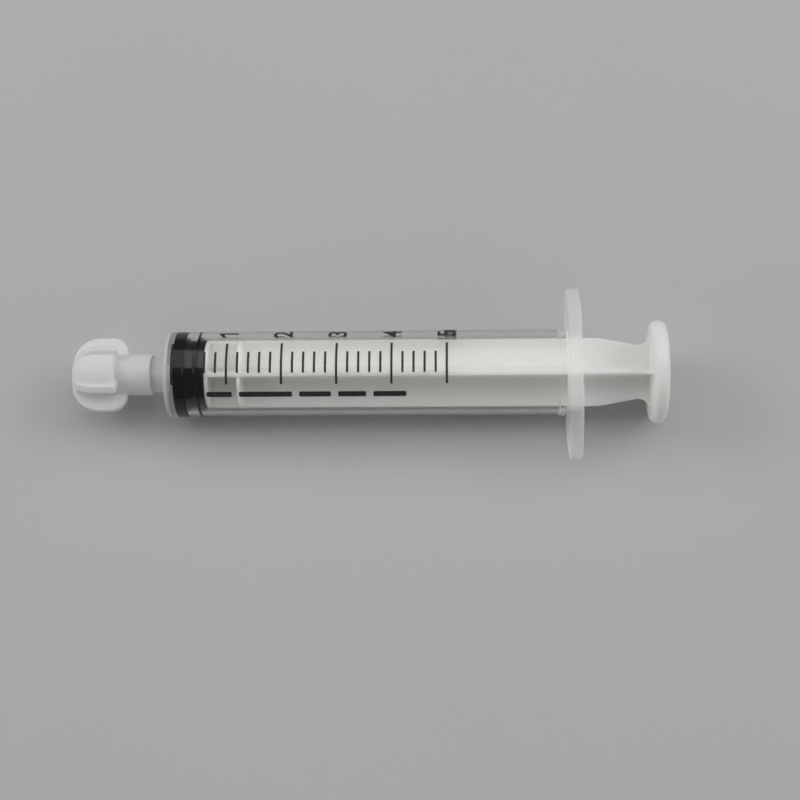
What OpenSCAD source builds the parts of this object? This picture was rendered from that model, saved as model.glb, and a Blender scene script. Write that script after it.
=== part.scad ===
// Oral syringe with a slip nozzle, a push-on tip cap and a printed millilitre scale.
// The syringe lies along X: the tip points to -X and the thumb rest to +X.
// X = 0 is the zero mark, where the inside of the barrel's front end meets its wall.
// Angles round the axis are counted from -Y, upwards over +Z.

/* [Barrel] */
// Outside diameter of the barrel
barrel_d = 13.8; // [13.6:0.1:14.2]
// Wall thickness of the barrel
wall = 0.85; // [0.8:0.05:0.95]
// Thickness of the barrel's front end
front_t = 1.45; // [1.4:0.05:1.6]
// Length from the zero mark to the back of the finger flange
barrel_len = 64.8; // [62.8:0.2:66]

/* [Finger flange] */
// Distance between the two wing tips
flange_span = 28.8; // [27:0.2:31]
// Height of the flange across its two flats
flange_h = 14.6; // [14.6:0.1:15]
// Thickness of the flange
flange_t = 2.1; // [1.7:0.1:2.3]

/* [Nozzle] */
// Nozzle diameter where it leaves the barrel
nozzle_base_d = 5.8; // [5.6:0.1:5.9]
// Nozzle diameter at its tip
nozzle_tip_d = 4.9; // [4.7:0.1:5]
// Length of the nozzle in front of the barrel
nozzle_len = 11.6; // [11:0.1:12]
// Diameter of the fluid channel
channel_d = 2.2; // [1.8:0.1:2.4]

/* [Tip cap] */
// Outside diameter of the cap's sleeve
sleeve_d = 6.6; // [6.6:0.1:7]
// Distance across the cap's two grip wings
cap_wing_span = 12; // [11.8:0.1:12.6]
// Thickness of a grip wing
cap_wing_t = 1.5; // [1.2:0.1:1.8]
// Distance across the round bosses between the wings
boss_d = 9; // [8.6:0.1:9.6]
// Width of a boss
boss_width = 6.2; // [5.6:0.1:6.6]
// Distance across the ribs along the bosses' edges
cap_rib_d = 10.6; // [10.2:0.1:11]
// Thickness of a boss's edge rib
cap_rib_t = 1.3; // [1.0:0.1:1.6]

/* [Plunger] */
// Diameter across the plunger's ribs
rib_d = 10.9; // [10.4:0.1:11]
// Thickness of a rib
rib_t = 1.0; // [0.8:0.1:1.3]
// Diameter of the thumb rest
thumb_d = 16.4; // [15.6:0.1:17]
// Thickness of the thumb rest
thumb_t = 2.5; // [2.4:0.1:2.8]
// Angle at which the first rib stands
rib_angle = 69; // [0:1:90]

/* [Piston] */
// Length of the rubber piston behind the zero mark
piston_len = 4.8; // [4.7:0.1:5.4]
// Radial clearance of the sealing rings in the bore
seal_gap = 0.03; // [0.02:0.01:0.06]

/* [Printed scale] */
// Volume at the last long mark, in millilitres
capacity = 5; // [3:1:5]
// Short marks between two long ones
short_marks = 4; // [1:1:4]
// Width of a mark
mark_w = 0.36; // [0.3:0.02:0.44]
// Height of a numeral
numeral_h = 3.0; // [2.6:0.1:3.2]
// Thickness of the printed layer
ink_t = 0.03; // [0.02:0.01:0.04]
// Angle at which the printed scale faces
print_angle = 70; // [60:1:80]

/* [Hidden] */

$fn = 96;
eps = 0.01;
arc_steps = 8;

// Barrel
barrel_r = barrel_d / 2;
bore_r = barrel_r - wall;
channel_r = channel_d / 2;
front_corner_r = 0.6;
bore_corner_r = 0.25;
front_cone_h = 0.4;
mouth_chamfer = 0.3;
collar_step = 0.12;
collar_len = 1.45;
collar_r = barrel_r + collar_step;
flange_front = barrel_len - flange_t;
collar_start = flange_front - collar_len;
// The retaining bead inside the mouth stops the piston's rings, but passes the ribs.
bead_h = 0.3;
bead_half_len = 0.7;
bead_x = flange_front - 0.5;

// Flange outline: two large arcs, small round tips and a flat on each side
wing_tip_r = 2.5;
arch_h = 8.6;
tip_y = flange_span / 2 - wing_tip_r;
arch_r = (tip_y * tip_y + arch_h * arch_h - wing_tip_r * wing_tip_r)
    / (2 * (arch_h - wing_tip_r));
arch_drop = arch_r - arch_h;
tangent_y = tip_y * arch_r / (arch_r - wing_tip_r);

// Nozzle
nozzle_base_r = nozzle_base_d / 2;
nozzle_tip_r = nozzle_tip_d / 2;
nozzle_base_x = -front_t;
nozzle_tip_x = nozzle_base_x - nozzle_len;
nozzle_edge_r = 0.25;
function nozzle_r(x) = nozzle_tip_r
    + (nozzle_base_r - nozzle_tip_r) * (x - nozzle_tip_x) / nozzle_len;

// Tip cap
sleeve_r = sleeve_d / 2;
boss_r = boss_d / 2;
cap_wing_r = cap_wing_span / 2;
cap_rib_r = cap_rib_d / 2;
cap_wing_angle = -6.5;
cap_rib_spread = 41;
cap_gap = 0.04;
sleeve_open_x = nozzle_base_x - 2.65;
socket_end_x = nozzle_tip_x - 0.5;
socket_lead = 0.15;
head_front_x = -17.1;
core_front_r = 2.6;
boss_front_r = 3.6;
boss_back_r = 0.4;
boss_back_x = -9.75;
cap_wing_front_r = 4.3;
cap_wing_back_r = 2.5;
cap_wing_back_x = -8.2;
cap_rib_front_r = 4.5;
cap_rib_back_r = 0.5;
cap_rib_back_x = -9.45;

// Piston
seal_r = bore_r - seal_gap;
front_ring_x0 = 0.1;
front_ring_x1 = 1.95;
back_ring_x0 = 3.7;
back_ring_x1 = 4.15;
recess_r = bore_r - 0.6;
skirt_r = bore_r - 0.45;
piston_edge_r = 0.25;
nose_r = 1.6;
nose_h = 0.35;

// Knob of the plunger and the cavity in the piston that holds it
knob_r = 3.2;
knob_x0 = 1.4;
knob_x1 = 2.7;
knob_edge = 0.5;
knob_neck_r = 2.2;
knob_gap = 0.05;

// Plunger
rib_r = rib_d / 2;
rib_count = 4;
rib_start = piston_len + 0.1;
plate_t = 0.6;
plate_x = 10.1;
neck_end = rib_start + plate_t / 2;
taper_start = barrel_len + 2.9;
taper_end = taper_start + 6.2;
waist_r = 4.3;
thumb_r = thumb_d / 2;
thumb_front = taper_end + 1.9;
thumb_back = thumb_front + thumb_t;
thumb_rim_r = 1.15;
flare_r = thumb_front - taper_end;

// Printed scale
ink_r = barrel_r + ink_t;
mm_per_ml = 1000 / (PI * bore_r * bore_r);
long_mark_from = print_angle - 14;
long_mark_to = print_angle + 44;
short_mark_from = print_angle + 1;
short_mark_to = print_angle + 30;
numeral_w = 0.62 * numeral_h;
numeral_stroke = 0.13 * numeral_h;
numeral_angle = print_angle + 67;
unit_angle = numeral_angle + 34;
// Plain bars, one after another, in place of a line of words
bar_lengths = [4.0, 8.4, 5.0, 4.4, 5.2];
bar_gap = 1.15;
bar_start = 5.5;
bar_h = 0.9;
bar_angle = print_angle - 28;

// Points of an arc in the plane of an outline
function arc(c, r, from, to) = [
    for (i = [0 : arc_steps])
        let (a = from + (to - from) * i / arc_steps)
        [c[0] + r * cos(a), c[1] + r * sin(a)]
];

// Sum of the first n entries of a list
function sum_of(v, n) = n == 0 ? 0 : v[n - 1] + sum_of(v, n - 1);

// Turns a solid from the Z axis onto the X axis.
module along_x() {
    rotate([0, 90, 0]) children();
}

// Solid of revolution round X from an outline of [radius, x] points
module turned(outline) {
    along_x() rotate_extrude() polygon(outline);
}

// Turns children that face -Y up to the angle a.
module facing(a) {
    rotate([-a, 0, 0]) children();
}

// A flat plate that stands out from the axis at an angle, from an outline of
// [radius, x] points
module standing_plate(outline, a, thickness) {
    facing(a)
        linear_extrude(thickness, center = true)
            polygon([for (p = outline) [p[1], -p[0]]]);
}

// A curved patch on the barrel, from one angle to another and from x0 over a length
module patch(from, to, x0, length) {
    facing(to)
        along_x()
            rotate([0, 0, -90])
                rotate_extrude(angle = to - from)
                    translate([barrel_r, x0])
                        square([ink_t, length]);
}

// ---------------------------------------------------------------- barrel

barrel_outline = concat(
    [[channel_r, nozzle_tip_x]],
    arc([nozzle_tip_r - nozzle_edge_r, nozzle_tip_x + nozzle_edge_r], nozzle_edge_r, -90, 0),
    [[nozzle_base_r, nozzle_base_x]],
    arc([barrel_r - front_corner_r, nozzle_base_x + front_corner_r], front_corner_r, -90, 0),
    [
        [barrel_r, collar_start],
        [collar_r, collar_start + collar_step],
        [collar_r, barrel_len],
        [bore_r + mouth_chamfer, barrel_len],
        [bore_r, barrel_len - mouth_chamfer],
        [bore_r, bead_x + bead_half_len],
        [bore_r - bead_h, bead_x],
        [bore_r, bead_x - bead_half_len]
    ],
    arc([bore_r - bore_corner_r, bore_corner_r], bore_corner_r, 0, -90),
    [
        [channel_r, -front_cone_h]
    ]
);

module flange_outline() {
    intersection() {
        union() {
            intersection() {
                translate([0, -arch_drop]) circle(arch_r);
                translate([0, arch_drop]) circle(arch_r);
                square([2 * tangent_y, 2 * arch_h], center = true);
            }
            for (side = [-1, 1])
                translate([side * tip_y, 0]) circle(wing_tip_r);
        }
        square([flange_span + 1, flange_h], center = true);
    }
}

module barrel() {
    color([0.88, 0.90, 0.91, 0.45]) {
        turned(barrel_outline);
        translate([flange_front, 0, 0])
            along_x()
                rotate([0, 0, 90])
                    linear_extrude(flange_t)
                        difference() {
                            flange_outline();
                            circle(collar_r - wall / 2);
                        }
    }
}

// ---------------------------------------------------------------- plunger

knob_outline = [
    [0, knob_x0],
    [knob_r - knob_edge, knob_x0],
    [knob_r, knob_x0 + knob_edge],
    [knob_r, knob_x1],
    [knob_neck_r, knob_x1],
    [knob_neck_r, neck_end],
    [0, neck_end]
];

thumb_outline = concat(
    [[0, thumb_front]],
    arc([thumb_r - thumb_rim_r, thumb_front + thumb_rim_r], thumb_rim_r, -90, 0),
    arc([thumb_r - thumb_rim_r, thumb_back - thumb_rim_r], thumb_rim_r, 0, 90),
    [[0, thumb_back]]
);

rib_outline = concat(
    [
        [0, neck_end],
        [rib_r, neck_end],
        [rib_r, taper_start],
        [waist_r, taper_end]
    ],
    arc([waist_r + flare_r, taper_end], flare_r, 180, 90),
    [
        [waist_r + flare_r, thumb_front + eps],
        [0, thumb_front + eps]
    ]
);

module plunger() {
    color([0.96, 0.96, 0.95]) {
        turned(knob_outline);
        for (i = [0 : rib_count - 1])
            standing_plate(rib_outline, rib_angle + i * 360 / rib_count, rib_t);
        for (x = [rib_start, plate_x])
            translate([x, 0, 0])
                along_x()
                    cylinder(r = rib_r, h = plate_t);
        turned(thumb_outline);
    }
}

// ---------------------------------------------------------------- piston

piston_outline = concat(
    [
        [0, front_ring_x0 - nose_h],
        [nose_r, front_ring_x0 - nose_h]
    ],
    arc([seal_r - piston_edge_r, front_ring_x0 + piston_edge_r], piston_edge_r, -90, 0),
    [
        [seal_r, front_ring_x1],
        [recess_r, front_ring_x1 + 0.1],
        [recess_r, back_ring_x0 - 0.1],
        [seal_r, back_ring_x0],
        [seal_r, back_ring_x1],
        [skirt_r, back_ring_x1 + 0.1]
    ],
    arc([skirt_r - piston_edge_r, piston_len - piston_edge_r], piston_edge_r, 0, 90),
    [
        [knob_neck_r + knob_gap, piston_len],
        [knob_neck_r + knob_gap, knob_x1 + knob_gap],
        [knob_r + knob_gap, knob_x1 + knob_gap],
        [knob_r + knob_gap, knob_x0 + knob_edge - knob_gap],
        [knob_r - knob_edge + knob_gap, knob_x0 - knob_gap],
        [0, knob_x0 - knob_gap]
    ]
);

module piston() {
    color([0.07, 0.07, 0.07]) turned(piston_outline);
}

// ---------------------------------------------------------------- tip cap

sleeve_outline = concat(
    [[0, head_front_x]],
    arc([sleeve_r - core_front_r, head_front_x + core_front_r], core_front_r, -90, 0),
    [
        [sleeve_r, sleeve_open_x],
        [0, sleeve_open_x]
    ]
);

boss_outline = concat(
    [[0, head_front_x]],
    arc([boss_r - boss_front_r, head_front_x + boss_front_r], boss_front_r, -90, 0),
    arc([boss_r - boss_back_r, boss_back_x - boss_back_r], boss_back_r, 0, 90),
    [[0, boss_back_x]]
);

// The socket follows the nozzle's taper, with a lead-in at its mouth.
socket_outline = [
    [0, socket_end_x],
    [nozzle_r(socket_end_x) + cap_gap, socket_end_x],
    [nozzle_r(sleeve_open_x - socket_lead) + cap_gap, sleeve_open_x - socket_lead],
    [nozzle_r(sleeve_open_x) + cap_gap + socket_lead, sleeve_open_x + eps],
    [0, sleeve_open_x + eps]
];

cap_wing_outline = concat(
    [[0, head_front_x]],
    arc(
        [cap_wing_r - cap_wing_front_r, head_front_x + cap_wing_front_r],
        cap_wing_front_r, -90, 0
    ),
    arc(
        [cap_wing_r - cap_wing_back_r, cap_wing_back_x - cap_wing_back_r],
        cap_wing_back_r, 0, 90
    ),
    [[0, cap_wing_back_x]]
);

cap_rib_outline = concat(
    [[0, head_front_x]],
    arc(
        [cap_rib_r - cap_rib_front_r, head_front_x + cap_rib_front_r],
        cap_rib_front_r, -90, 0
    ),
    arc(
        [cap_rib_r - cap_rib_back_r, cap_rib_back_x - cap_rib_back_r],
        cap_rib_back_r, 0, 90
    ),
    [[0, cap_rib_back_x]]
);

// The two bosses, one on each face of the wings
module bosses() {
    intersection() {
        turned(boss_outline);
        facing(cap_wing_angle + 90)
            translate([head_front_x - 1, -boss_d, -boss_width / 2])
                cube([boss_back_x - head_front_x + 2, 2 * boss_d, boss_width]);
    }
}

module tip_cap() {
    color([0.93, 0.93, 0.92, 0.85])
        difference() {
            union() {
                turned(sleeve_outline);
                bosses();
                for (side = [0, 180]) {
                    standing_plate(cap_wing_outline, cap_wing_angle + side, cap_wing_t);
                    for (turn = [90 - cap_rib_spread, 90 + cap_rib_spread])
                        standing_plate(
                            cap_rib_outline, cap_wing_angle + side + turn, cap_rib_t
                        );
                }
            }
            turned(socket_outline);
        }
}

// ---------------------------------------------------------------- printed scale

module scale_ticks() {
    color([0.10, 0.10, 0.10])
        for (i = [0 : capacity * (short_marks + 1)]) {
            is_long = i % (short_marks + 1) == 0;
            x = i * mm_per_ml / (short_marks + 1);
            patch(
                is_long ? long_mark_from : short_mark_from,
                is_long ? long_mark_to : short_mark_to,
                x - mark_w / 2,
                mark_w
            );
        }
}

// A numeral is a list of pen strokes in a box one unit wide and one unit high.
function bowl(c, w, h, from, to) = [
    for (i = [0 : arc_steps])
        let (a = from + (to - from) * i / arc_steps)
        [c[0] + w * cos(a), c[1] + h * sin(a)]
];

function strokes(digit) =
    digit == 1 ? [
        [[0.15, 0.76], [0.55, 0.97]],
        [[0.55, 1], [0.55, 0]]
    ] :
    digit == 2 ? [
        concat(bowl([0.5, 0.7], 0.45, 0.27, 170, -35), [[0.08, 0.05]]),
        [[0, 0.05], [1, 0.05]]
    ] :
    digit == 3 ? [
        bowl([0.47, 0.745], 0.42, 0.22, 160, -90),
        bowl([0.47, 0.28], 0.48, 0.24, 90, -160)
    ] :
    digit == 4 ? [
        [[0.74, 0.96], [0.04, 0.28]],
        [[0, 0.28], [1, 0.28]],
        [[0.74, 1], [0.74, 0]]
    ] : [
        [[0.92, 0.95], [0.2, 0.95], [0.12, 0.5]],
        bowl([0.46, 0.34], 0.5, 0.3, 140, -155)
    ];

// The unit, as two letters: a lower-case m and a capital L
letter_m = [
    [[0, 0], [0, 0.68]],
    concat(bowl([0.27, 0.42], 0.27, 0.22, 180, 0), [[0.54, 0]]),
    concat(bowl([0.81, 0.42], 0.27, 0.22, 180, 0), [[1.08, 0]])
];
letter_l = [[[1.6, 1], [1.6, 0.05], [2.3, 0.05]]];

function unit(v) = v / norm(v);

// Step from a point of a line to its left edge, for a pen one unit wide on that side
function edge_step(points, i) =
    let (
        last = len(points) - 1,
        before = unit(points[max(i, 1)] - points[max(i, 1) - 1]),
        after = unit(points[min(i, last - 1) + 1] - points[min(i, last - 1)]),
        middle = unit(before + after)
    )
    [-middle[1], middle[0]] / (middle * before);

// One stroke of the pen, as one outline
module pen(points, w) {
    last = len(points) - 1;
    polygon(concat(
        [for (i = [0 : last]) points[i] + edge_step(points, i) * w / 2],
        [for (i = [last : -1 : 0]) points[i] - edge_step(points, i) * w / 2]
    ));
}

// Strokes printed on the barrel at x and an angle: their top is towards the tip.
module printed(glyph, x, a, width) {
    intersection() {
        facing(a)
            rotate([90, 0, 0])
                linear_extrude(ink_r + 1)
                    translate([x + numeral_h / 2, -width / 2])
                        for (line = glyph)
                            pen(
                                [for (p = line) [-p[1] * numeral_h, p[0] * numeral_w]],
                                numeral_stroke
                            );
        along_x()
            translate([0, 0, x - numeral_h])
                difference() {
                    cylinder(r = ink_r, h = 2 * numeral_h);
                    translate([0, 0, -1]) cylinder(r = barrel_r, h = 2 * numeral_h + 2);
                }
    }
}

module scale_numerals() {
    color([0.10, 0.10, 0.10]) {
        for (ml = [1 : capacity])
            printed(strokes(ml), ml * mm_per_ml, numeral_angle, numeral_w);
        printed(
            concat(letter_m, letter_l),
            capacity * mm_per_ml,
            unit_angle,
            2.3 * numeral_w
        );
    }
}

module legend_bars() {
    half_angle = bar_h / barrel_r * 90 / PI;
    color([0.10, 0.10, 0.10])
        for (i = [0 : len(bar_lengths) - 1])
            patch(
                bar_angle - half_angle,
                bar_angle + half_angle,
                bar_start + sum_of(bar_lengths, i) + i * bar_gap,
                bar_lengths[i]
            );
}

barrel();
plunger();
piston();
tip_cap();
scale_ticks();
scale_numerals();
legend_bars();
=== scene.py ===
import math

import bmesh
import bpy
from mathutils import Matrix, Vector


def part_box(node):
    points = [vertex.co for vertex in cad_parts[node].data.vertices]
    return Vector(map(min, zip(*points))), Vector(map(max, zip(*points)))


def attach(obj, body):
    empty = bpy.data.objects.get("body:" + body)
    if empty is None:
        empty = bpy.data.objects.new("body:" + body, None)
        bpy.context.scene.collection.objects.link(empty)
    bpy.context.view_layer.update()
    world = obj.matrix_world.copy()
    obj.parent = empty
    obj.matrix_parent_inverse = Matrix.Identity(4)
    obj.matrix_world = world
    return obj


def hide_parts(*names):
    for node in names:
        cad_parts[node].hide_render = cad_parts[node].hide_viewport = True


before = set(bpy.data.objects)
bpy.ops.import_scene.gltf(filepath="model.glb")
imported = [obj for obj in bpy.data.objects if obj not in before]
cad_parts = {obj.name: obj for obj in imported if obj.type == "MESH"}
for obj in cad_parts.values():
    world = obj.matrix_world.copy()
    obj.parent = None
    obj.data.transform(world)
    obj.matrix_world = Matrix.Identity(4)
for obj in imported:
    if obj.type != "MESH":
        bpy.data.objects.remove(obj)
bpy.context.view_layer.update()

# An oral syringe lying on a table: clear barrel, black rubber piston, white plunger and
# a milky cap. Lengths are in millimetres until finish_piece scales a mesh to metres.
# Angles round the axis are counted from -Y, upwards over +Z.

MM = 0.001


def box_mm(node):
    """Lowest and highest corner of a CAD node, in millimetres."""
    low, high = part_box(node)
    return Vector(low) / MM, Vector(high) / MM


# ------------------------------------------------------------ sizes from the frame

barrel_low, barrel_high = box_mm("barrel")
plunger_low, plunger_high = box_mm("plunger")
piston_low, piston_high = box_mm("piston")
cap_low, cap_high = box_mm("tip_cap")
bars_low = box_mm("legend_bars")[0]

# Barrel
WALL = 0.85
RUNNING_GAP = 0.03
BORE_R = piston_high.z + RUNNING_GAP
BARREL_R = BORE_R + WALL
FRONT_T = 1.45
NOZZLE_TIP_X = barrel_low.x
NOZZLE_TIP_R = 2.45
NOZZLE_BASE_R = 2.9
CHANNEL_R = 1.1

# The plunger's knob and neck, which sit in the piston's cavity
KNOB_X = plunger_low.x
KNOB_LEN = 1.3
KNOB_NOSE_LEN = 0.5
KNOB_NOSE_R = 2.7
KNOB_R = 3.2
NECK_R = 2.2

# Finger flange and the collar in front of it
FLANGE_T = 2.1
FLANGE_BACK = barrel_high.x
FLANGE_FRONT = FLANGE_BACK - FLANGE_T
COLLAR_STEP = 0.12
COLLAR_LEN = 1.45
COLLAR_R = BARREL_R + COLLAR_STEP
COLLAR_START = FLANGE_FRONT - COLLAR_LEN
WING_TIP_R = 2.5
WING_ARCH_H = 8.6
WING_REACH = barrel_high.y
FLAT_Z = barrel_high.z

# Print
INK_T = 0.03
INK_IN = BARREL_R - 0.01
INK_OUT = BARREL_R + INK_T
MM_PER_ML = 1000 / (math.pi * BORE_R ** 2)
CAPACITY = 5
PRINT_ANGLE = 70


# ------------------------------------------------------------ mesh helpers


def rounded(corners, closed=False, support=0.12, step=math.radians(15)):
    """An outline of (x, r) points from (x, r, fillet radius) corners.

    Each fillet is an arc with a supporting point on either side, which keeps the
    smooth shading of the long straight stretches straight.
    """
    count = len(corners)
    points = [Vector(c[:2]) for c in corners]
    legs = [0.0] * count
    turns = [math.pi] * count
    inner = range(count) if closed else range(1, count - 1)
    for i in inner:
        a = (points[i - 1] - points[i]).normalized()
        b = (points[(i + 1) % count] - points[i]).normalized()
        turns[i] = a.angle(b)
        if corners[i][2] > 0:
            legs[i] = corners[i][2] / math.tan(turns[i] / 2)
    outline = []
    for i in range(count):
        if legs[i] == 0:
            outline.append(points[i])
            continue
        before, after = points[i - 1], points[(i + 1) % count]
        to_before = before - points[i]
        to_after = after - points[i]
        room_before = to_before.length - legs[i] - legs[i - 1]
        room_after = to_after.length - legs[i] - legs[(i + 1) % count]
        a, b = to_before.normalized(), to_after.normalized()
        centre = points[i] + (a + b).normalized() * corners[i][2] / math.sin(turns[i] / 2)
        start = points[i] + a * legs[i] - centre
        sweep = start.angle_signed(points[i] + b * legs[i] - centre)
        steps = max(2, math.ceil(abs(sweep) / step))
        if room_before > 0.02:
            outline.append(points[i] + a * (legs[i] + min(support, room_before / 3)))
        for k in range(steps + 1):
            outline.append(centre + Matrix.Rotation(-sweep * k / steps, 2) @ start)
        if room_after > 0.02:
            outline.append(points[i] + b * (legs[i] + min(support, room_after / 3)))
    return outline


def round_axis(x, r, angle):
    """The point at x, a radius and an angle round the axis."""
    return Vector((x, -r * math.cos(angle), r * math.sin(angle)))


def skin(name, rings, closed):
    """A mesh of quads over rings of points. Rings on the axis shrink to one vertex."""
    mesh = bpy.data.meshes.new(name)
    form = bmesh.new()
    rows = [[form.verts.new(p) for p in ring] for ring in rings]
    pairs = list(zip(rows, rows[1:] + rows[:1])) if closed else list(zip(rows, rows[1:]))
    for row, following in pairs:
        for i in range(len(row)):
            j = (i + 1) % len(row)
            form.faces.new((row[i], row[j], following[j], following[i]))
    if not closed:
        for row in (rows[0], rows[-1]):
            if (row[0].co - row[len(row) // 2].co).length > 1e-6:
                form.faces.new(row)
    bmesh.ops.remove_doubles(form, verts=form.verts, dist=1e-5)
    bmesh.ops.dissolve_degenerate(form, edges=form.edges, dist=1e-6)
    bmesh.ops.recalc_face_normals(form, faces=form.faces)
    form.to_mesh(mesh)
    form.free()
    piece = bpy.data.objects.new(name, mesh)
    bpy.context.scene.collection.objects.link(piece)
    return piece


def turned(name, outline, segments=192, closed=False):
    """A solid of revolution round the axis from an outline of (x, r) points."""
    angles = [2 * math.pi * i / segments for i in range(segments)]
    rings = [[round_axis(p[0], p[1], a) for a in angles] for p in outline]
    return skin(name, rings, closed)


def apply_modifiers(piece):
    """Gives the piece the mesh that its modifiers make."""
    depsgraph = bpy.context.evaluated_depsgraph_get()
    made = bpy.data.meshes.new_from_object(piece.evaluated_get(depsgraph))
    old = piece.data
    piece.modifiers.clear()
    piece.data = made
    bpy.data.meshes.remove(old)


def combine(piece, others, operation="UNION"):
    """Joins other solids to the piece, or cuts them out of it, and removes them."""
    for other in others:
        boolean = piece.modifiers.new("combine", "BOOLEAN")
        boolean.operation = operation
        boolean.solver = "EXACT"
        boolean.object = other
        apply_modifiers(piece)
        bpy.data.objects.remove(other)
    return piece


def joined(piece, others):
    """Adds the meshes of other solids to the piece's own, and removes them."""
    form = bmesh.new()
    for each in [piece] + others:
        form.from_mesh(each.data)
    form.to_mesh(piece.data)
    form.free()
    for other in others:
        bpy.data.objects.remove(other)
    return piece


def remeshed(piece, voxel, smooth_steps):
    """Melts the piece's overlapping solids into one smooth moulded skin."""
    remesh = piece.modifiers.new("remesh", "REMESH")
    remesh.mode = "VOXEL"
    remesh.voxel_size = voxel
    smooth = piece.modifiers.new("smooth", "SMOOTH")
    smooth.factor = 0.5
    smooth.iterations = smooth_steps
    apply_modifiers(piece)
    return piece


def finish_piece(piece, body, material, nodes, sharp=35):
    """Scales a mesh to metres, shades it, ties it to its CAD body and hides its CAD nodes."""
    piece.data.transform(Matrix.Scale(MM, 4))
    piece.data.materials.clear()
    piece.data.materials.append(material)
    piece.data.polygons.foreach_set("use_smooth", [True] * len(piece.data.polygons))
    piece.data.set_sharp_from_angle(angle=math.radians(sharp))
    piece.data.update()
    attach(piece, body)
    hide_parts(*nodes)
    return piece


# ------------------------------------------------------------ materials


class Plastic:
    """A material whose nodes all end in one Principled shader."""

    def __init__(self, name, **values):
        self.material = bpy.data.materials.new(name)
        self.material.use_nodes = True
        self.nodes = self.material.node_tree.nodes
        self.links = self.material.node_tree.links
        self.shader = self.nodes["Principled BSDF"]
        self.output = self.nodes["Material Output"]
        self.place = self.nodes.new("ShaderNodeTexCoord").outputs["Object"]
        for key, value in values.items():
            self.shader.inputs[key.replace("_", " ")].default_value = value

    def noise(self, scale, detail=3.0, stretch=(1, 1, 1)):
        """Noise over the piece, with the scale in features per metre."""
        mapping = self.nodes.new("ShaderNodeMapping")
        mapping.inputs["Scale"].default_value = stretch
        texture = self.nodes.new("ShaderNodeTexNoise")
        texture.inputs["Scale"].default_value = scale
        texture.inputs["Detail"].default_value = detail
        self.links.new(self.place, mapping.inputs["Vector"])
        self.links.new(mapping.outputs["Vector"], texture.inputs["Vector"])
        return texture.outputs["Fac"]

    def spread(self, factor, low, high):
        """Maps a noise from its usual range to low and high."""
        mapped = self.nodes.new("ShaderNodeMapRange")
        mapped.inputs["From Min"].default_value = 0.3
        mapped.inputs["From Max"].default_value = 0.7
        mapped.inputs["To Min"].default_value = low
        mapped.inputs["To Max"].default_value = high
        self.links.new(factor, mapped.inputs["Value"])
        return mapped.outputs["Result"]

    def tint(self, factor, dark, pale):
        """A colour between two, chosen by a noise."""
        ramp = self.nodes.new("ShaderNodeValToRGB")
        ramp.color_ramp.elements[0].position = 0.3
        ramp.color_ramp.elements[1].position = 0.7
        ramp.color_ramp.elements[0].color = (*dark, 1)
        ramp.color_ramp.elements[1].color = (*pale, 1)
        self.links.new(factor, ramp.inputs["Fac"])
        return ramp.outputs["Color"]

    def bump(self, factor, height):
        """Raises the surface by a noise, with the height in metres."""
        bump = self.nodes.new("ShaderNodeBump")
        bump.inputs["Strength"].default_value = 1.0
        bump.inputs["Distance"].default_value = height
        self.links.new(factor, bump.inputs["Height"])
        self.links.new(bump.outputs["Normal"], self.shader.inputs["Normal"])

    def feed(self, socket, value):
        self.links.new(value, self.shader.inputs[socket])


def clear_plastic(name, clearness, haze, solidity):
    """Moulded polypropylene: clear where it's thin, and milkier where it's thick."""
    look = Plastic(
        name,
        Alpha=solidity,
        Base_Color=(0.925, 0.923, 0.915, 1),
        Transmission_Weight=clearness,
        IOR=1.42,
    )
    look.feed("Roughness", look.spread(look.noise(260, 4), haze * 0.7, haze * 1.3))
    look.bump(look.noise(420, 2, (0.35, 1, 1)), 0.000006)
    # Lets the soft light through to the pieces inside and to the table below.
    path = look.nodes.new("ShaderNodeLightPath")
    passing = look.nodes.new("ShaderNodeBsdfTransparent")
    passing.inputs["Color"].default_value = (0.88, 0.88, 0.875, 1)
    mix = look.nodes.new("ShaderNodeMixShader")
    look.links.new(path.outputs["Is Shadow Ray"], mix.inputs["Fac"])
    look.links.new(look.shader.outputs["BSDF"], mix.inputs[1])
    look.links.new(passing.outputs["BSDF"], mix.inputs[2])
    look.links.new(mix.outputs["Shader"], look.output.inputs["Surface"])
    return look.material


def white_plastic():
    """Satin white polypropylene with faint flow marks along the moulding."""
    look = Plastic(
        "white_plastic",
        IOR=1.49,
        Subsurface_Weight=1.0,
        Subsurface_Radius=(1.0, 1.0, 0.98),
        Subsurface_Scale=0.0017,
    )
    look.feed("Base Color", look.tint(
        look.noise(70, 3, (0.3, 1, 1)), (0.86, 0.853, 0.835), (0.90, 0.893, 0.875)))
    look.feed("Roughness", look.spread(look.noise(500, 4, (0.4, 1, 1)), 0.32, 0.46))
    look.bump(look.noise(1600, 3), 0.000008)
    return look.material


def black_rubber():
    """Moulded black rubber with a fine matt grain and a lubricated sheen."""
    look = Plastic("black_rubber", IOR=1.25)
    look.feed("Base Color", look.tint(
        look.noise(900, 4), (0.003, 0.003, 0.0034), (0.009, 0.009, 0.0095)))
    look.feed("Roughness", look.spread(look.noise(1400, 4), 0.38, 0.55))
    look.bump(look.noise(2600, 4), 0.000012)
    return look.material


def milky_plastic():
    """Soft milky polyethylene that light soaks into."""
    look = Plastic(
        "milky_plastic",
        IOR=1.3,
        Transmission_Weight=0.15,
        Subsurface_Weight=1.0,
        Subsurface_Radius=(1.0, 1.0, 0.97),
        Subsurface_Scale=0.001,
    )
    look.feed("Base Color", look.tint(
        look.noise(180, 3), (0.93, 0.928, 0.912), (0.965, 0.963, 0.947)))
    look.feed("Roughness", look.spread(look.noise(700, 4), 0.4, 0.52))
    look.bump(look.noise(900, 3), 0.000012)
    return look.material


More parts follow.
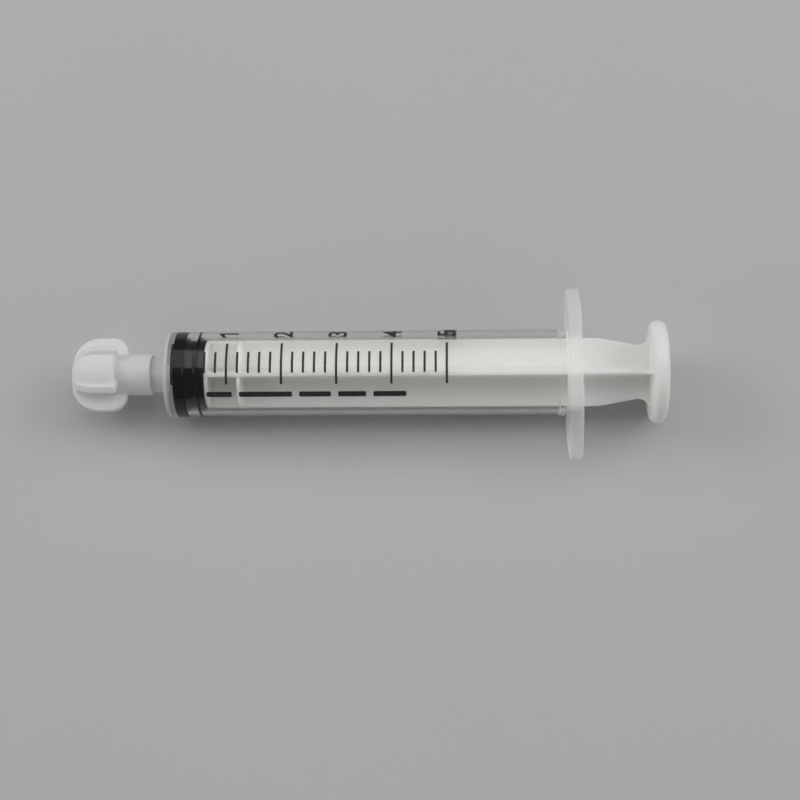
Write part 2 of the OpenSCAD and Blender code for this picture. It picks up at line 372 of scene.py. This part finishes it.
def black_ink():
    """Screen-printed ink, a little uneven in its black."""
    look = Plastic("black_ink", IOR=1.45)
    look.feed("Base Color", look.tint(
        look.noise(1500, 4), (0.012, 0.012, 0.013), (0.035, 0.035, 0.037)))
    look.feed("Roughness", look.spread(look.noise(2400, 3), 0.45, 0.65))
    look.bump(look.noise(3200, 3), 0.000006)
    return look.material


def table_paint():
    """A plain pale table with a barely visible mottle."""
    look = Plastic("table_paint", IOR=1.4)
    look.feed("Base Color", look.tint(
        look.noise(9, 2), (0.54, 0.54, 0.54), (0.56, 0.56, 0.558)))
    look.feed("Roughness", look.spread(look.noise(600, 3), 0.62, 0.75))
    look.bump(look.noise(2200, 2), 0.00001)
    return look.material


CLEAR = clear_plastic("clear_plastic", 1.0, 0.09, 1.0)
HAZY = clear_plastic("hazy_plastic", 0.2, 0.4, 0.52)
WHITE = white_plastic()
RUBBER = black_rubber()
MILKY = milky_plastic()
INK = black_ink()


# ------------------------------------------------------------ barrel


def wing_radius(angle):
    """Distance from the axis to the flange's edge at an angle."""
    tip_y = WING_REACH - WING_TIP_R
    arch_r = (tip_y ** 2 + WING_ARCH_H ** 2 - WING_TIP_R ** 2) / (2 * (WING_ARCH_H - WING_TIP_R))
    drop = arch_r - WING_ARCH_H
    tangent_y = tip_y * arch_r / (arch_r - WING_TIP_R)
    tangent_z = math.sqrt(arch_r ** 2 - tangent_y ** 2) - drop
    along, up = abs(math.cos(angle)), abs(math.sin(angle))
    if up * tangent_y < along * tangent_z:
        return tip_y * along + math.sqrt(WING_TIP_R ** 2 - (tip_y * up) ** 2)
    arch = -drop * up + math.sqrt((drop * up) ** 2 + arch_r ** 2 - drop ** 2)
    # A high power mean rounds the corner between the arch and the flat.
    power = 40
    return ((up / FLAT_Z) ** power + (1 / arch) ** power) ** (-1 / power)


def barrel():
    """The clear barrel with its nozzle, retaining bead and finger flange, as one skin."""
    front_edge = 0.6
    collar_edge = 0.12
    rim_edge = 0.35
    root_fillet = 0.25
    mouth_chamfer = 0.3
    bead_x = FLANGE_FRONT - 0.5
    bead_h = 0.08
    bead_half_len = 0.7
    front_cone_h = 0.4
    corners = [
        (NOZZLE_TIP_X, CHANNEL_R, 0.1),
        (NOZZLE_TIP_X, NOZZLE_TIP_R, 0.25),
        (-FRONT_T, NOZZLE_BASE_R, 0.2),
        (-FRONT_T, BARREL_R, front_edge),
        (COLLAR_START, BARREL_R, collar_edge),
        (COLLAR_START + COLLAR_STEP, COLLAR_R, collar_edge),
        (FLANGE_FRONT, COLLAR_R, root_fillet),
        (FLANGE_FRONT, WING_REACH, rim_edge),
        (FLANGE_BACK, WING_REACH, rim_edge),
        (FLANGE_BACK, BORE_R + mouth_chamfer, 0.15),
        (FLANGE_BACK - mouth_chamfer, BORE_R, 0.15),
        (bead_x + bead_half_len, BORE_R, 0.3),
        (bead_x, BORE_R - bead_h, 0.4),
        (bead_x - bead_half_len, BORE_R, 0.3),
        (0, BORE_R, 0.25),
        (-front_cone_h, CHANNEL_R, 0.15),
    ]
    outline = rounded(corners, closed=True)
    segments = 384
    # The rim keeps its round edge where the flange stands out this far, and less elsewhere.
    full_edge = 1.3
    rim_band = 1
    rings = []
    for x, r in outline:
        on_flange = x > FLANGE_FRONT - root_fillet * 1.5 and r > COLLAR_R + 1e-4
        ring = []
        for i in range(segments):
            angle = 2 * math.pi * i / segments
            radius = r
            if on_flange:
                reach = wing_radius(angle)
                squeeze = min(1, (reach - COLLAR_R) / full_edge)
                from_rim = WING_REACH - r
                if from_rim < rim_band:
                    radius = reach - from_rim * squeeze
                else:
                    radius = COLLAR_R + (r - COLLAR_R) * squeeze
            ring.append(round_axis(x, radius, angle))
        rings.append(ring)
    piece = skin("barrel_shell", rings, closed=True)
    finish_piece(piece, "barrel", CLEAR, ["barrel"])
    piece.data.materials.append(HAZY)
    haze_margin = 0.3
    for face in piece.data.polygons:
        x = face.center.x / MM
        if x < -haze_margin or x > FLANGE_FRONT - haze_margin:
            face.material_index = 1
    return piece


# ------------------------------------------------------------ plunger


def arc(centre_u, centre_v, r, start, stop, steps):
    """Points of an arc in a section, with its angles in degrees."""
    points = []
    for k in range(steps + 1):
        a = math.radians(start + (stop - start) * k / steps)
        points.append((centre_u + r * math.cos(a), centre_v + r * math.sin(a)))
    return points


def cross_ring(x, radius, half_t, turn):
    """A section of the ribs: a cross with round edges and filleted inner corners."""
    fillet, edge = 0.45, 0.2
    thin = half_t * 0.76
    root = half_t + fillet
    straight_end = radius - edge - 0.12
    side = arc(root, -root, fillet, 180, 90, 6)
    side.append((root + 0.15, -half_t))
    side.append((straight_end, -thin))
    side += arc(radius - edge, -thin + edge, edge, -90, 0, 4)
    side += arc(radius - edge, thin - edge, edge, 0, 90, 4)
    side.append((straight_end, thin))
    side.append((root + 0.15, half_t))
    ring = []
    for rib in range(4):
        for u, v in side:
            a = turn + rib * math.pi / 2 + math.atan2(v, u)
            ring.append(round_axis(x, math.hypot(u, v), a))
    return ring


def disc(name, start_x, radius, thickness, edge, segments):
    """A round disc across the axis with rounded edges."""
    return turned(name, rounded([
        (start_x, 0, 0),
        (start_x, radius, edge),
        (start_x + thickness, radius, edge),
        (start_x + thickness, 0, 0),
    ]), segments)


def plunger():
    """The white plunger: crossed ribs, two stiffening discs, a knob and the thumb rest."""
    rib_r = 5.45
    half_t = 0.5
    turn = math.radians(PRINT_ANGLE - 1)
    rib_start = piston_high.x + 0.1
    disc_t = 0.6
    disc_edge = 0.2
    second_disc_x = 10.1
    neck_end = rib_start + disc_t / 2
    taper_start = FLANGE_BACK + 2.9
    taper_end = taper_start + 6.2
    taper_bend_r = 8
    waist_r = 4.3
    thumb_t = 2.5
    thumb_edge = 1.1
    thumb_front = plunger_high.x - thumb_t
    flare = thumb_front - taper_end
    sunk = 0.6

    outline = rounded([
        (rib_start + disc_t / 2, rib_r, 0),
        (taper_start, rib_r, taper_bend_r),
        (taper_end, waist_r, 0),
    ], step=math.radians(1))
    flare_steps = 12
    for k in range(1, flare_steps + 1):
        a = math.pi / 2 * k / flare_steps
        outline.append(Vector(
            (taper_end + flare * math.sin(a), waist_r + flare * (1 - math.cos(a)))))
    outline.append(Vector((thumb_front + sunk, waist_r + flare)))
    ribs = skin("plunger_body", [cross_ring(x, r, half_t, turn) for x, r in outline], False)
    knob = turned("knob", rounded([
        (KNOB_X, 0, 0),
        (KNOB_X, KNOB_NOSE_R, 0.2),
        (KNOB_X + KNOB_NOSE_LEN, KNOB_R, 0.2),
        (KNOB_X + KNOB_LEN, KNOB_R, 0.2),
        (KNOB_X + KNOB_LEN, NECK_R, 0.1),
        (neck_end, NECK_R, 0),
        (neck_end, 0, 0),
    ]), 96)
    piece = combine(ribs, [
        disc("front_disc", rib_start, rib_r, disc_t, disc_edge, 128),
        disc("second_disc", second_disc_x, rib_r, disc_t, disc_edge, 128),
        knob,
        disc("thumb", thumb_front, plunger_high.z, thumb_t, thumb_edge, 192),
    ])
    return finish_piece(piece, "plunger", WHITE, ["plunger"])


# ------------------------------------------------------------ piston


def piston():
    """The rubber piston: two sealing rings that press into the bore, and its cavity."""
    bite = 0.02
    seal_r = BORE_R + bite
    recess_r = BORE_R - 0.6
    skirt_r = BORE_R - 0.45
    nose_x = piston_low.x
    face_x = nose_x + 0.27
    front_ring_end = 1.95
    back_ring_x = 3.7
    back_ring_end = 4.15
    ring_step = 0.1
    end_x = piston_high.x
    # The cavity follows the plunger's knob and neck with this much room.
    gap = 0.05
    piece = turned("piston_rubber", rounded([
        (nose_x, 0, 0),
        (nose_x, 1.6, 0.15),
        (face_x, seal_r, 0.14),
        (front_ring_end, seal_r, 0.1),
        (front_ring_end + ring_step, recess_r, 0.2),
        (back_ring_x - ring_step, recess_r, 0.2),
        (back_ring_x, seal_r, 0.12),
        (back_ring_end, seal_r, 0.12),
        (back_ring_end + ring_step, skirt_r, 0.1),
        (end_x, skirt_r, 0.25),
        (end_x, NECK_R + gap, 0.1),
        (KNOB_X + KNOB_LEN + gap, NECK_R + gap, 0),
        (KNOB_X + KNOB_LEN + gap, KNOB_R + gap, 0),
        (KNOB_X + KNOB_NOSE_LEN - gap, KNOB_R + gap, 0),
        (KNOB_X - gap, KNOB_NOSE_R + gap, 0),
        (KNOB_X - gap, 0, 0),
    ]), 256)
    return finish_piece(piece, "piston", RUBBER, ["piston"])


# ------------------------------------------------------------ tip cap


def cap_socket_r(x):
    """Radius of the cap's socket, which follows the nozzle's taper."""
    gap = 0.04
    slope = (NOZZLE_BASE_R - NOZZLE_TIP_R) / (-FRONT_T - NOZZLE_TIP_X)
    return NOZZLE_TIP_R + slope * (x - NOZZLE_TIP_X) + gap


def cap_plate(name, angle, reach, half_t, back_x, front_fillet, back_fillet):
    """A plate through the head, whose two ends stand out at an angle and opposite it."""
    half = rounded([
        (cap_low.x, 0, 0),
        (cap_low.x, reach, front_fillet),
        (back_x, reach, back_fillet),
        (back_x, 0, 0),
    ])
    outline = half + [Vector((x, -r)) for x, r in reversed(half[1:-1])]
    rings = []
    for v in (-half_t, half_t):
        ring = []
        for x, r in outline:
            ring.append(round_axis(x, math.hypot(r, v), angle + math.atan2(v, r)))
        rings.append(ring)
    return skin(name, rings, closed=False)


def cap_bosses(back_x, middle):
    """The round bosses on the two faces of the wings: a round head with flat sides."""
    radius, half_width = 4.5, 3.1
    outline = rounded([
        (cap_low.x, 0, 0),
        (cap_low.x, radius, 3.6),
        (back_x, radius, 0.4),
        (back_x, 0, 0),
    ])
    segments = 160
    rings = []
    for x, r in outline:
        ring = []
        for i in range(segments):
            angle = 2 * math.pi * i / segments
            across = abs(math.sin(angle - middle)) * r
            ring.append(round_axis(x, r * min(1, half_width / max(across, 1e-6)), angle))
        rings.append(ring)
    return skin("bosses", rings, closed=False)


def tip_cap():
    """The milky push-on cap: two wings, a ribbed boss on each face, and a sleeve."""
    open_x = cap_high.x
    sleeve_r = 3.3
    boss_back_x = -9.75
    wing_angle = math.radians(-6.5)
    wing_size = {"reach": 6.0, "half_t": 0.75, "back_x": -8.2, "front_fillet": 4.3, "back_fillet": 2.5}
    middle = wing_angle + math.pi / 2
    rib_spread = math.radians(41)
    rib_size = {"reach": 5.3, "half_t": 0.65, "back_x": -9.45, "front_fillet": 4.5, "back_fillet": 0.5}
    cap = turned("cap_body", rounded([
        (cap_low.x, 0, 0),
        (cap_low.x, sleeve_r, 2.6),
        (open_x, sleeve_r, 0.2),
        (open_x, 0, 0),
    ]), 160)
    joined(cap, [
        cap_bosses(boss_back_x, middle),
        cap_plate("wings", wing_angle, **wing_size),
        cap_plate("rib_low", middle - rib_spread, **rib_size),
        cap_plate("rib_high", middle + rib_spread, **rib_size),
    ])
    remeshed(cap, voxel=0.09, smooth_steps=4)
    end_x = NOZZLE_TIP_X - 0.5
    lead_x = open_x - 0.15
    past_x = open_x + 0.2
    socket = turned("socket", rounded([
        (end_x, 0, 0),
        (end_x, cap_socket_r(end_x), 0.3),
        (lead_x, cap_socket_r(lead_x), 0.1),
        (past_x, cap_socket_r(open_x) + 0.4, 0),
        (past_x, 0, 0),
    ]), 128)
    combine(cap, [socket], "DIFFERENCE")
    return finish_piece(cap, "tip_cap", MILKY, ["tip_cap"], sharp=50)


# ------------------------------------------------------------ print


def wrap_flat(form, place):
    """Wraps a flat bmesh in (around, along) millimetres on the barrel as printed ink.

    place turns a point of the flat print into (x, distance round the barrel).
    """
    low = min(v.co.x for v in form.verts)
    high = max(v.co.x for v in form.verts)
    strip = 0.2
    for i in range(1, math.ceil((high - low) / strip)):
        geometry = form.verts[:] + form.edges[:] + form.faces[:]
        bmesh.ops.bisect_plane(
            form, geom=geometry, plane_co=(low + i * strip, 0, 0), plane_no=(1, 0, 0))
    made = bmesh.ops.extrude_face_region(form, geom=form.faces[:])
    top = {v for v in made["geom"] if isinstance(v, bmesh.types.BMVert)}
    for v in form.verts:
        x, around = place(v.co)
        radius = INK_OUT if v in top else INK_IN
        v.co = round_axis(x, radius, around / BARREL_R)
    bmesh.ops.recalc_face_normals(form, faces=form.faces)


def rounded_bar(form, x0, x1, from_v, to_v, corner):
    """Adds a flat bar with round corners, across from_v to to_v and along x0 to x1."""
    steps = 4
    points = []
    for cx, cv, start in (
        (x1 - corner, from_v + corner, -90),
        (x1 - corner, to_v - corner, 0),
        (x0 + corner, to_v - corner, 90),
        (x0 + corner, from_v + corner, 180),
    ):
        for k in range(steps + 1):
            a = math.radians(start + 90 * k / steps)
            points.append((cv + corner * math.sin(a), cx + corner * math.cos(a), 0))
    form.faces.new([form.verts.new(p) for p in points])


def print_piece(name, form, place, nodes):
    """Wraps a flat print on the barrel and makes it a piece of ink."""
    wrap_flat(form, place)
    mesh = bpy.data.meshes.new(name)
    form.to_mesh(mesh)
    form.free()
    piece = bpy.data.objects.new(name, mesh)
    bpy.context.scene.collection.objects.link(piece)
    return finish_piece(piece, "barrel", INK, nodes)


def straight(point):
    """Places a point of a flat print whose x runs round the barrel and y along it."""
    return point.y, point.x


def along_barrel(degrees):
    """Distance round the barrel's surface to an angle."""
    return math.radians(degrees) * BARREL_R


def scale_ticks():
    """Long marks at whole millilitres and four short ones between them."""
    form = bmesh.new()
    half_w = 0.18
    per_ml = 5
    long_span = (-14, 44)
    short_span = (1, 30)
    for i in range(CAPACITY * per_ml + 1):
        x = i * MM_PER_ML / per_ml
        start, stop = long_span if i % per_ml == 0 else short_span
        rounded_bar(
            form, x - half_w, x + half_w,
            along_barrel(PRINT_ANGLE + start), along_barrel(PRINT_ANGLE + stop), 0.06)
    return print_piece("printed_ticks", form, straight, ["scale_ticks"])


def legend_bars():
    """Plain bars in place of a line of words."""
    form = bmesh.new()
    lengths = [4.0, 8.4, 5.0, 4.4, 5.2]
    gap = 1.15
    middle = along_barrel(PRINT_ANGLE - 28)
    half_h = 0.45
    x = bars_low.x
    for length in lengths:
        rounded_bar(form, x, x + length, middle - half_h, middle + half_h, 0.2)
        x += length + gap
    return print_piece("printed_bars", form, straight, ["legend_bars"])


def flat_text(words, height):
    """The flat outline of a few characters, centred, with capitals of a given height."""
    curve = bpy.data.curves.new(words, "FONT")
    curve.body = words
    curve.align_x = "CENTER"
    curve.resolution_u = 6
    curve.offset = 0.016
    piece = bpy.data.objects.new(words, curve)
    bpy.context.scene.collection.objects.link(piece)
    depsgraph = bpy.context.evaluated_depsgraph_get()
    mesh = bpy.data.meshes.new_from_object(piece.evaluated_get(depsgraph))
    bpy.data.objects.remove(piece)
    bpy.data.curves.remove(curve)
    low = min(v.co.y for v in mesh.vertices)
    high = max(v.co.y for v in mesh.vertices)
    scale = height / (high - low)
    mesh.transform(Matrix.Translation((0, -height / 2, 0)) @ Matrix.Scale(scale, 4)
                   @ Matrix.Translation((0, -low, 0)))
    return mesh


def flat_one(height):
    """A flat numeral 1 with a slanted flag, centred like the other numerals."""
    right, left, tip = 0.42, 0.0, -0.85
    neck, flag_low, flag_high = 0.8, 0.35, 0.85
    top = height / 2
    mesh = bpy.data.meshes.new("one")
    form = bmesh.new()
    stem = [
        [form.verts.new((u, v, 0)) for u in (left, right)] for v in (-top, neck, top)]
    flag = [form.verts.new((tip, v, 0)) for v in (flag_low, flag_high)]
    form.faces.new((stem[0][0], stem[0][1], stem[1][1], stem[1][0]))
    form.faces.new((stem[1][0], stem[1][1], stem[2][1], stem[2][0]))
    form.faces.new((flag[0], stem[1][0], stem[2][0], flag[1]))
    form.to_mesh(mesh)
    form.free()
    return mesh


def scale_numerals():
    """The numerals 1 to 5 and the unit, read with their tops towards the tip."""
    numeral_h = 3.0
    widen = 1.25
    numeral_angle = PRINT_ANGLE + 66
    unit_angle = PRINT_ANGLE + 101
    form = bmesh.new()
    labels = [(str(ml), ml, numeral_angle) for ml in range(1, CAPACITY + 1)]
    labels.append(("mL", CAPACITY, unit_angle))
    for words, ml, degrees in labels:
        mesh = flat_one(numeral_h) if words == "1" else flat_text(words, numeral_h)
        mesh.transform(Matrix.Translation((along_barrel(degrees), -ml * MM_PER_ML, 0))
                       @ Matrix.Diagonal((widen, 1, 1, 1)))
        form.from_mesh(mesh)
        bpy.data.meshes.remove(mesh)
    bmesh.ops.remove_doubles(form, verts=form.verts, dist=1e-4)
    return print_piece(
        "printed_numerals", form, lambda p: (-p.y, p.x), ["scale_numerals"])


# ------------------------------------------------------------ table, light and camera


def table():
    """The table, which the thumb rest and the barrel's front edge lie on."""
    reach = 4.0
    thumb_x = plunger_high.x - 1.2
    front_x = 0.6 - FRONT_T
    slope = math.atan2(plunger_high.z - BARREL_R, thumb_x - front_x)
    mesh = bpy.data.meshes.new("table")
    form = bmesh.new()
    bmesh.ops.create_grid(form, x_segments=8, y_segments=8, size=reach)
    form.to_mesh(mesh)
    form.free()
    top = bpy.data.objects.new("table", mesh)
    bpy.context.scene.collection.objects.link(top)
    top.rotation_euler = (0, slope, 0)
    top.location = (0, 0, (math.tan(slope) * thumb_x - plunger_high.z) * MM)
    mesh.materials.append(table_paint())


def soft_light(name, size, place, aim, radiance):
    """A rectangular soft box of a given radiance, turned towards a point."""
    light = bpy.data.lights.new(name, "AREA")
    light.shape = "RECTANGLE"
    light.size, light.size_y = size
    light.energy = radiance * math.pi * size[0] * size[1]
    lamp = bpy.data.objects.new(name, light)
    lamp.location = place
    lamp.rotation_mode = "QUATERNION"
    lamp.rotation_quaternion = (Vector(aim) - Vector(place)).to_track_quat("-Z", "Y")
    bpy.context.scene.collection.objects.link(lamp)


def lights():
    """A large soft box above the back, and two smaller ones at each end."""
    soft_light("key_light", (2.0, 0.92), (0.07, 0.43, 0.75), (0.07, 0.43, 0), 0.95)
    aim = (0.03, 0, 0)
    for name, side, side_radiance, corner_radiance in (
        ("left", -1, 2.7, 1.3),
        ("right", 1, 2.3, 1.0),
    ):
        soft_light(
            "side_light_" + name, (0.6, 0.5), (side * 0.85, 0.25, 0.58), aim, side_radiance)
        soft_light(
            "corner_light_" + name, (0.7, 0.5), (side * 0.8, -0.5, 0.35), aim, corner_radiance)


def surroundings():
    """Dim, even light from everywhere else in the room."""
    world = bpy.data.worlds.new("room")
    world.use_nodes = True
    sky = world.node_tree.nodes["Background"]
    sky.inputs["Color"].default_value = (1.0, 0.985, 0.96, 1)
    sky.inputs["Strength"].default_value = 0.09
    bpy.context.scene.world = world


def camera():
    """The photograph's view: from above the front, a hand's length and a half away."""
    sensor_w = 36.0
    focal = 73.07
    distance = 261.48
    yaw, elevation, roll = map(math.radians, (2.238, 70.29, -0.311))
    aim_x = plunger_high.x - 42.45
    aim_up = -4.298
    back = Vector((
        math.sin(yaw),
        -math.cos(yaw) * math.cos(elevation),
        math.cos(yaw) * math.sin(elevation),
    ))
    right = (Vector((1, 0, 0)) - back * back.x).normalized()
    up = back.cross(right)
    aim = Vector((aim_x, 0, 0)) + up * aim_up
    right, up = (
        right * math.cos(roll) + up * math.sin(roll),
        up * math.cos(roll) - right * math.sin(roll),
    )
    lens = bpy.data.cameras.new("camera")
    lens.sensor_width = sensor_w
    lens.lens = focal
    lens.clip_start = 0.01
    lens.clip_end = 10
    eye = bpy.data.objects.new("camera", lens)
    eye.matrix_world = Matrix.Translation((aim + back * distance) * MM) @ Matrix(
        (right, up, back)).transposed().to_4x4()
    bpy.context.scene.collection.objects.link(eye)
    bpy.context.scene.camera = eye


camera()
barrel()
plunger()
piston()
tip_cap()
scale_ticks()
legend_bars()
scale_numerals()
table()
surroundings()
lights()
bpy.context.scene.view_settings.view_transform = "Standard"
